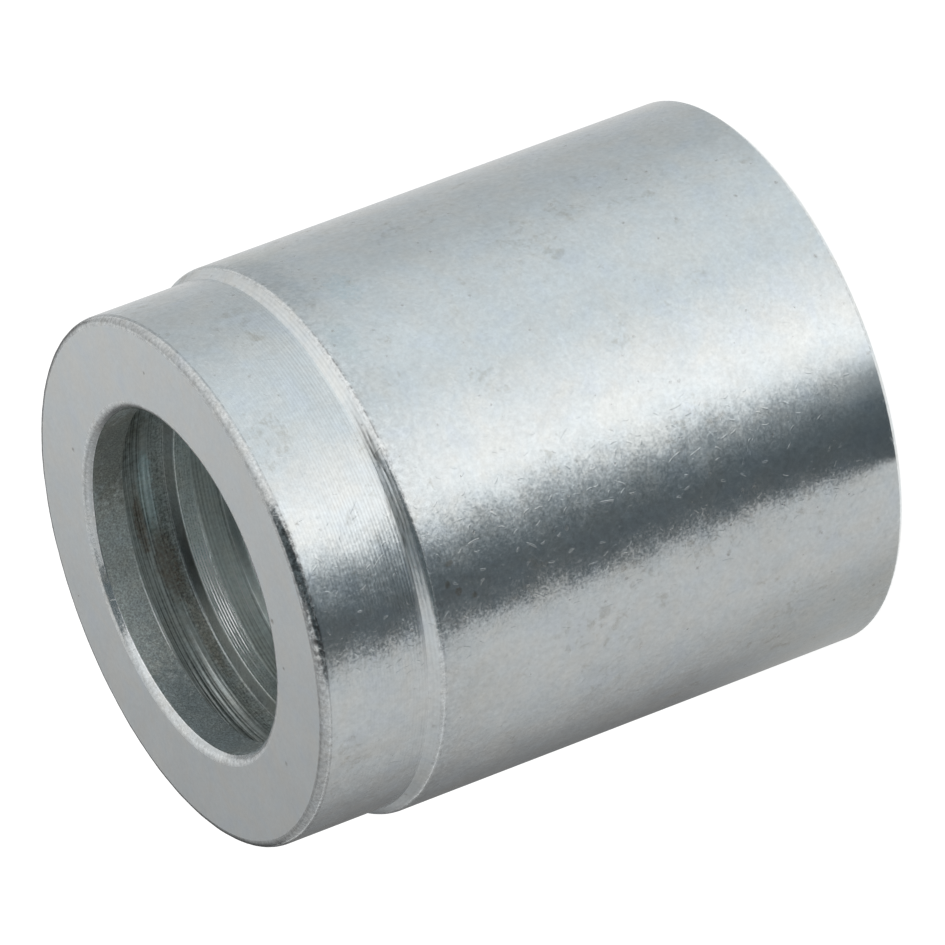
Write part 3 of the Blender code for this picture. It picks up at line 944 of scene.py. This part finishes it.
def makeTurningTree(values):
    tree = bpy.data.node_groups.new("turnFerrule", "GeometryNodeTree")
    face = tree.interface
    face.new_socket(name="Geometry", in_out="INPUT", socket_type="NodeSocketGeometry")
    for name, value in values.items():
        kind = "NodeSocketInt" if isinstance(value, int) else "NodeSocketFloat"
        face.new_socket(name=name, in_out="INPUT", socket_type=kind).default_value = value
    for name in ("Outside Finish", "Faced Finish", "Bored Finish"):
        face.new_socket(name=name, in_out="INPUT", socket_type="NodeSocketMaterial")
    face.new_socket(name="Geometry", in_out="OUTPUT", socket_type="NodeSocketGeometry")
    given = tree.nodes.new("NodeGroupInput").outputs
    result = tree.nodes.new("NodeGroupOutput")
    section = given["Geometry"]

    # A grid with one row for each point of the section and one column for each step round
    rows = node(tree, "GeometryNodeAttributeDomainSize", {0: section}).outputs["Point Count"]
    columns = calc(tree, "ADD", given["Steps Around"], 1.0)
    grid = node(tree, "GeometryNodeMeshGrid", {"Vertices X": columns, "Vertices Y": rows})
    index = node(tree, "GeometryNodeInputIndex").outputs[0]
    column = calc(tree, "FLOOR", calc(tree, "DIVIDE", calc(tree, "ADD", index, 0.5), rows))
    row = calc(tree, "SUBTRACT", index, calc(tree, "MULTIPLY", column, rows))

    # Each point goes to its place in the section, turned about the axis
    position = node(tree, "GeometryNodeInputPosition").outputs[0]
    place = node(tree, "GeometryNodeSampleIndex", data_type="FLOAT_VECTOR", domain="POINT")
    setInputs(tree, place, {"Geometry": section, "Value": position, "Index": row})
    angle = calc(tree, "MULTIPLY", calc(tree, "DIVIDE", column, given["Steps Around"]), math.tau)
    angle = calc(tree, "ADD", angle, math.pi / 2)
    turned = node(tree, "ShaderNodeVectorRotate", {"Vector": place.outputs["Value"], "Angle": angle},
                  rotation_type="Z_AXIS")
    shape = node(tree, "GeometryNodeSetPosition", {"Position": turned.outputs[0]})
    tree.links.new(grid.outputs["Mesh"], shape.inputs["Geometry"])
    shape = shape.outputs[0]

    # Facts that the finishes read: edge and burr on points, zone on faces, the unrolled map
    for name in ("edge", "burr"):
        stored = node(tree, "GeometryNodeStoreNamedAttribute", data_type="FLOAT", domain="POINT")
        value = sample(tree, section, name, row)
        setInputs(tree, stored, {"Geometry": shape, "Name": name, "Value": value})
        shape = stored.outputs[0]
    strips = calc(tree, "SUBTRACT", rows, 1.0)
    strip = calc(tree, "FLOORED_MODULO", index, strips)
    stored = node(tree, "GeometryNodeStoreNamedAttribute", data_type="FLOAT", domain="FACE")
    value = sample(tree, section, "zone", strip)
    setInputs(tree, stored, {"Geometry": shape, "Name": "zone", "Value": value})
    shape = stored.outputs[0]
    chart = node(tree, "ShaderNodeSeparateXYZ", {0: grid.outputs["UV Map"]}).outputs
    chartRow = calc(tree, "ROUND", calc(tree, "MULTIPLY", chart["Y"], strips))
    chartX = calc(tree, "MULTIPLY", chart["X"], given["Chart Width"])
    chartY = sample(tree, section, "travel", chartRow)
    chart = node(tree, "ShaderNodeCombineXYZ", {"X": chartX, "Y": chartY}).outputs[0]
    stored = node(tree, "GeometryNodeStoreNamedAttribute", data_type="FLOAT2", domain="CORNER")
    setInputs(tree, stored, {"Geometry": shape, "Name": "unrolled", "Value": chart})
    shape = node(tree, "GeometryNodeMergeByDistance", {0: stored.outputs[0], "Distance": 1e-6})
    shape = shape.outputs[0]

    # A faint unevenness everywhere and a rough burr round the collar's outer edge
    spot = vectorCalc(tree, "SCALE", position, Scale=1.0 / millimetre)
    waver = node(tree, "ShaderNodeTexNoise", noise_dimensions="4D")
    setInputs(tree, waver, {"Vector": spot, "W": given["Seed"], "Scale": 0.25, "Detail": 1.0})
    wave = calc(tree, "MULTIPLY", calc(tree, "SUBTRACT", waver.outputs[0], 0.5), given["Wave Height"])
    ragged = node(tree, "ShaderNodeTexNoise", noise_dimensions="4D")
    setInputs(tree, ragged, {"Vector": spot, "W": given["Seed"], "Scale": given["Burr Grain"]})
    setInputs(tree, ragged, {"Detail": 3.0, "Roughness": 0.7})
    burr = calc(tree, "MULTIPLY", calc(tree, "SUBTRACT", ragged.outputs[0], 0.5), given["Burr Height"])
    mask = node(tree, "GeometryNodeInputNamedAttribute", {"Name": "burr"}, data_type="FLOAT")
    burr = calc(tree, "MULTIPLY", burr, mask.outputs["Attribute"])
    offset = calc(tree, "MULTIPLY", calc(tree, "ADD", wave, burr), 2.0 * millimetre)
    normal = node(tree, "GeometryNodeInputNormal").outputs[0]
    offset = vectorCalc(tree, "SCALE", normal, Scale=offset)
    shape = node(tree, "GeometryNodeSetPosition", {"Geometry": shape, "Offset": offset}).outputs[0]
    shape = node(tree, "GeometryNodeSetShadeSmooth", {0: shape}).outputs[0]

    shape = node(tree, "GeometryNodeRealizeInstances", {0: shape}).outputs[0]
    zone = node(tree, "GeometryNodeInputNamedAttribute", {"Name": "zone"}, data_type="FLOAT")
    zone = zone.outputs["Attribute"]
    finishes = ("Outside Finish", "Faced Finish", "Bored Finish")
    for number, name in enumerate(finishes):
        chosen = calc(tree, "COMPARE", zone, float(number), 0.25)
        made = node(tree, "GeometryNodeSetMaterial", {"Geometry": shape, "Selection": chosen})
        setInputs(tree, made, {"Material": given[name]})
        shape = made.outputs[0]
    tree.links.new(shape, result.inputs[0])
    return tree


def makeFerrule(sizes, values):
    finishes = {
        "Outside Finish": makePlatedOutside(platedOutside, sizes),
        "Faced Finish": makeFacedEnds(facedEnds),
        "Bored Finish": makeBoredInside(boredInside, sizes),
    }
    ferrule = makeSection(sizes)
    tree = makeTurningTree(values)
    turned = ferrule.modifiers.new("turned", "NODES")
    turned.node_group = tree
    sockets = {item.name: item.identifier for item in tree.interface.items_tree
               if item.in_out == "INPUT"}
    for name, value in {**values, **finishes}.items():
        turned[sockets[name]] = value
    bpy.context.view_layer.update()
    seen = ferrule.evaluated_get(bpy.context.evaluated_depsgraph_get())
    mesh = bpy.data.meshes.new_from_object(seen)
    sectionMesh = ferrule.data
    ferrule.modifiers.clear()
    ferrule.data = mesh
    bpy.data.meshes.remove(sectionMesh)
    mesh.name = "platedFerrule"
    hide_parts("ferrule")
    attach(ferrule, "root")
    return ferrule


ferrule = makeFerrule(ferruleSizes, turning)
print("ferrule turned:", sum(len(face.vertices) - 2 for face in ferrule.data.polygons), "triangles")


# Stage: white floor, light all round, and grey cards that only reflections see

stageLook = {
    "floorSize": 6.0,  # metres
    "floorGlow": 0.80,
    "floorColor": (0.40, 0.40, 0.40, 1.0),
    "skyLevel": 0.82,
    "skySlope": (0.18, -0.33, -0.06),
    "matReach": 420.0,
    "matHeight": 0.05,
    "matRows": 26,
    "nearGlow": (0.46, 0.46, 0.45, 1.0),  # paler floor close under the shaded side
    "nearSide": (-58.0, -46.0),  # degrees
    "nearReach": (4.0, 24.0),
    "cardColor": (0.105, 0.130, 0.140, 1.0),
    "cardDistance": 600.0,
    "cardMiddle": 16.0,
    "screenDistance": 45.0,
    "screenWidth": 68.0,
    "screenBottom": 20.0,
    "screenTop": 104.0,
    "screenLevel": 0.62,
    "screenSlope": 0.017,  # change of level for each millimetre towards +X
    "screenRange": (0.55, 1.5),
    "screenFoot": (34.0, 50.0),  # heights between which it goes from dark to its full level
    "screenFootLevel": 0.2,
}

# Grey of the floor mat by the angle of the body's surface that mirrors it, camera side = 0,
# and how cool it is
matGreys = (
    (-90, 0.18, 0.0), (-80, 0.19, 0.0), (-68, 0.31, 0.0), (-58, 0.49, 0.0), (-48, 0.60, 0.0),
    (-36, 0.65, 0.0), (-28.2, 0.64, 0.1), (-27.2, 0.11, 0.8), (-20, 0.10, 1.0), (-15, 0.14, 1.0),
    (-9, 0.38, 0.5), (-4, 1.12, 0.1), (1, 1.28, 0.0), (8, 1.14, 0.0), (20, 0.90, 0.3),
    (32, 0.88, 0.3), (40, 0.80, 0.3), (54, 0.60, 0.3), (66, 0.57, 0.2), (76, 0.63, 0.1),
    (84, 0.76, 0.0), (90, 0.86, 0.0),
)

# Edges of the dark card as the ferrule sees it: lift above the floor, left and right, in degrees
cardEdges = (
    (-3, -56, -12), (12, -54, 0), (30, -48, 12), (45, -38, 13),
    (55, -22, 14), (62, -19, 11), (80, -18, 9), (104, -12, 8),
)


def emission(name):
    material = bpy.data.materials.new(name)
    material.use_nodes = True
    tree = material.node_tree
    tree.nodes.clear()
    glow = node(tree, "ShaderNodeEmission")
    output = node(tree, "ShaderNodeOutputMaterial")
    tree.links.new(glow.outputs[0], output.inputs["Surface"])
    return material, tree, glow


def reflectionOnly(thing):
    thing.visible_camera = False
    thing.visible_diffuse = False
    thing.visible_transmission = False
    thing.visible_shadow = False


def makeFloor(s):
    half = s["floorSize"] / 2
    mesh = bpy.data.meshes.new("floor")
    corners = [(-half, -half, 0.0), (half, -half, 0.0), (half, half, 0.0), (-half, half, 0.0)]
    mesh.from_pydata(corners, [], [(0, 1, 2, 3)])
    floor = bpy.data.objects.new("floor", mesh)
    floor.location.z = -0.00002
    scene.collection.objects.link(floor)
    material = bpy.data.materials.new("whiteFloor")
    material.use_nodes = True
    tree = material.node_tree
    shader = tree.nodes["Principled BSDF"]
    setInputs(tree, shader, {"Base Color": s["floorColor"], "Roughness": 1.0})
    shader.inputs["Specular IOR Level"].default_value = 0.0
    ray = node(tree, "ShaderNodeLightPath").outputs
    seen = calc(tree, "ADD", ray["Is Camera Ray"], ray["Is Glossy Ray"])
    seen = calc(tree, "ADD", seen, ray["Is Transmission Ray"])
    glow = calc(tree, "MULTIPLY", calc(tree, "MINIMUM", seen, 1.0), s["floorGlow"])
    setInputs(tree, shader, {"Emission Color": (1.0, 1.0, 1.0, 1.0), "Emission Strength": glow})
    mesh.materials.append(material)


def fade(value, full, none):
    return min(1.0, max(0.0, (none - value) / (none - full)))


def makeMat(s, greys, sizes):
    # A fan of floor strips: each lies where one line down the body's side is mirrored
    radius = sizes["bodyRadius"]
    angles = [math.radians(step * 1.5) for step in range(-60, 61)]
    reaches = [s["matReach"] * (step / s["matRows"]) ** 3 for step in range(s["matRows"] + 1)]
    points = []
    sides = []
    nears = []
    for angle in angles:
        start = Vector((math.sin(angle), -math.cos(angle), 0.0)) * radius
        along = Vector((math.sin(2 * angle), -math.cos(2 * angle), 0.0))
        side = math.degrees(angle)
        shaded = fade(side, *s["nearSide"])
        for reach in reaches:
            points.append((start + along * (reach + 0.3)) * millimetre)
            sides.append(side)
            nears.append(shaded * fade(reach, *s["nearReach"]))
    count = len(reaches)
    faces = []
    for column in range(len(angles) - 1):
        for row in range(count - 1):
            first = column * count + row
            faces.append((first, first + 1, first + count + 1, first + count))
    mesh = bpy.data.meshes.new("mat")
    mesh.from_pydata(points, [], faces)
    mesh.attributes.new("side", "FLOAT", "POINT").data.foreach_set("value", sides)
    mesh.attributes.new("near", "FLOAT", "POINT").data.foreach_set("value", nears)
    mat = bpy.data.objects.new("mat", mesh)
    mat.location.z = s["matHeight"] * millimetre
    scene.collection.objects.link(mat)
    reflectionOnly(mat)
    material, tree, glow = emission("greyMat")
    side = node(tree, "ShaderNodeAttribute", attribute_name="side").outputs["Fac"]
    ramp = node(tree, "ShaderNodeValToRGB", {"Fac": remap(tree, side, -90.0, 90.0)})
    while len(ramp.color_ramp.elements) < len(greys):
        ramp.color_ramp.elements.new(0.5)
    for stop, (angle, level, cool) in zip(ramp.color_ramp.elements, greys):
        stop.position = (angle + 90.0) / 180.0
        stop.color = (level * (1.0 - 0.17 * cool), level, level * (1.0 + 0.10 * cool), 1.0)
    near = node(tree, "ShaderNodeAttribute", attribute_name="near").outputs["Fac"]
    color = mixColor(tree, near, ramp.outputs[0], s["nearGlow"])
    tree.links.new(color, glow.inputs["Color"])
    mesh.materials.append(material)


def makeCard(s, edges):
    # A leaning dark card round the camera, seen in whatever faces up and forward
    across = 8
    middle = Vector((0.0, 0.0, s["cardMiddle"]))
    points = []
    for lift, left, right in edges:
        rise = math.radians(lift)
        for step in range(across + 1):
            swing = math.radians(left + (right - left) * step / across)
            flat = math.cos(swing)
            toward = Vector((math.sin(swing), -flat * math.cos(rise), flat * math.sin(rise)))
            points.append((middle + toward * s["cardDistance"]) * millimetre)
    count = across + 1
    faces = []
    for row in range(len(edges) - 1):
        for step in range(across):
            first = row * count + step
            faces.append((first, first + 1, first + count + 1, first + count))
    mesh = bpy.data.meshes.new("darkCard")
    mesh.from_pydata(points, [], faces)
    card = bpy.data.objects.new("darkCard", mesh)
    scene.collection.objects.link(card)
    reflectionOnly(card)
    material, tree, glow = emission("darkCard")
    glow.inputs["Color"].default_value = s["cardColor"]
    mesh.materials.append(material)


def makeScreen(s):
    # A grey screen behind, paler to one side, which the collar's flat end mirrors
    half = s["screenWidth"] / 2
    y, bottom, top = s["screenDistance"], s["screenBottom"], s["screenTop"]
    corners = [(-half, y, bottom), (half, y, bottom), (half, y, top), (-half, y, top)]
    mesh = bpy.data.meshes.new("screen")
    mesh.from_pydata([Vector(corner) * millimetre for corner in corners], [], [(0, 1, 2, 3)])
    screen = bpy.data.objects.new("screen", mesh)
    scene.collection.objects.link(screen)
    reflectionOnly(screen)
    material, tree, glow = emission("greyScreen")
    place = node(tree, "ShaderNodeTexCoord").outputs["Object"]
    place = vectorCalc(tree, "SCALE", place, Scale=1.0 / millimetre)
    parts = node(tree, "ShaderNodeSeparateXYZ", {0: place}).outputs
    least, most = s["screenRange"]
    level = calc(tree, "MULTIPLY_ADD", parts["X"], s["screenSlope"], 1.0)
    level = calc(tree, "MINIMUM", calc(tree, "MAXIMUM", level, least), most)
    foot = remap(tree, parts["Z"], *s["screenFoot"], s["screenFootLevel"], 1.0, True)
    level = calc(tree, "MULTIPLY", calc(tree, "MULTIPLY", level, foot), s["screenLevel"])
    tree.links.new(level, glow.inputs["Strength"])
    mesh.materials.append(material)


def makeSky(s):
    world = bpy.data.worlds.new("studio")
    world.use_nodes = True
    tree = world.node_tree
    tree.nodes.clear()
    toward = node(tree, "ShaderNodeTexCoord").outputs["Generated"]
    slope = vectorCalc(tree, "DOT_PRODUCT", toward, s["skySlope"], output="Value")
    level = calc(tree, "ADD", slope, s["skyLevel"])
    level = calc(tree, "MAXIMUM", level, 0.06)
    ray = node(tree, "ShaderNodeLightPath").outputs
    seen = calc(tree, "MAXIMUM", level, ray["Is Camera Ray"])
    sky = node(tree, "ShaderNodeBackground", {"Color": (1.0, 1.0, 1.0, 1.0), "Strength": seen})
    output = node(tree, "ShaderNodeOutputWorld", {"Surface": sky.outputs[0]})
    scene.world = world
    return output


makeFloor(stageLook)
makeMat(stageLook, matGreys, ferruleSizes)
makeCard(stageLook, cardEdges)
makeScreen(stageLook)
makeSky(stageLook)
scene.view_settings.view_transform = "Standard"
print("stage set")
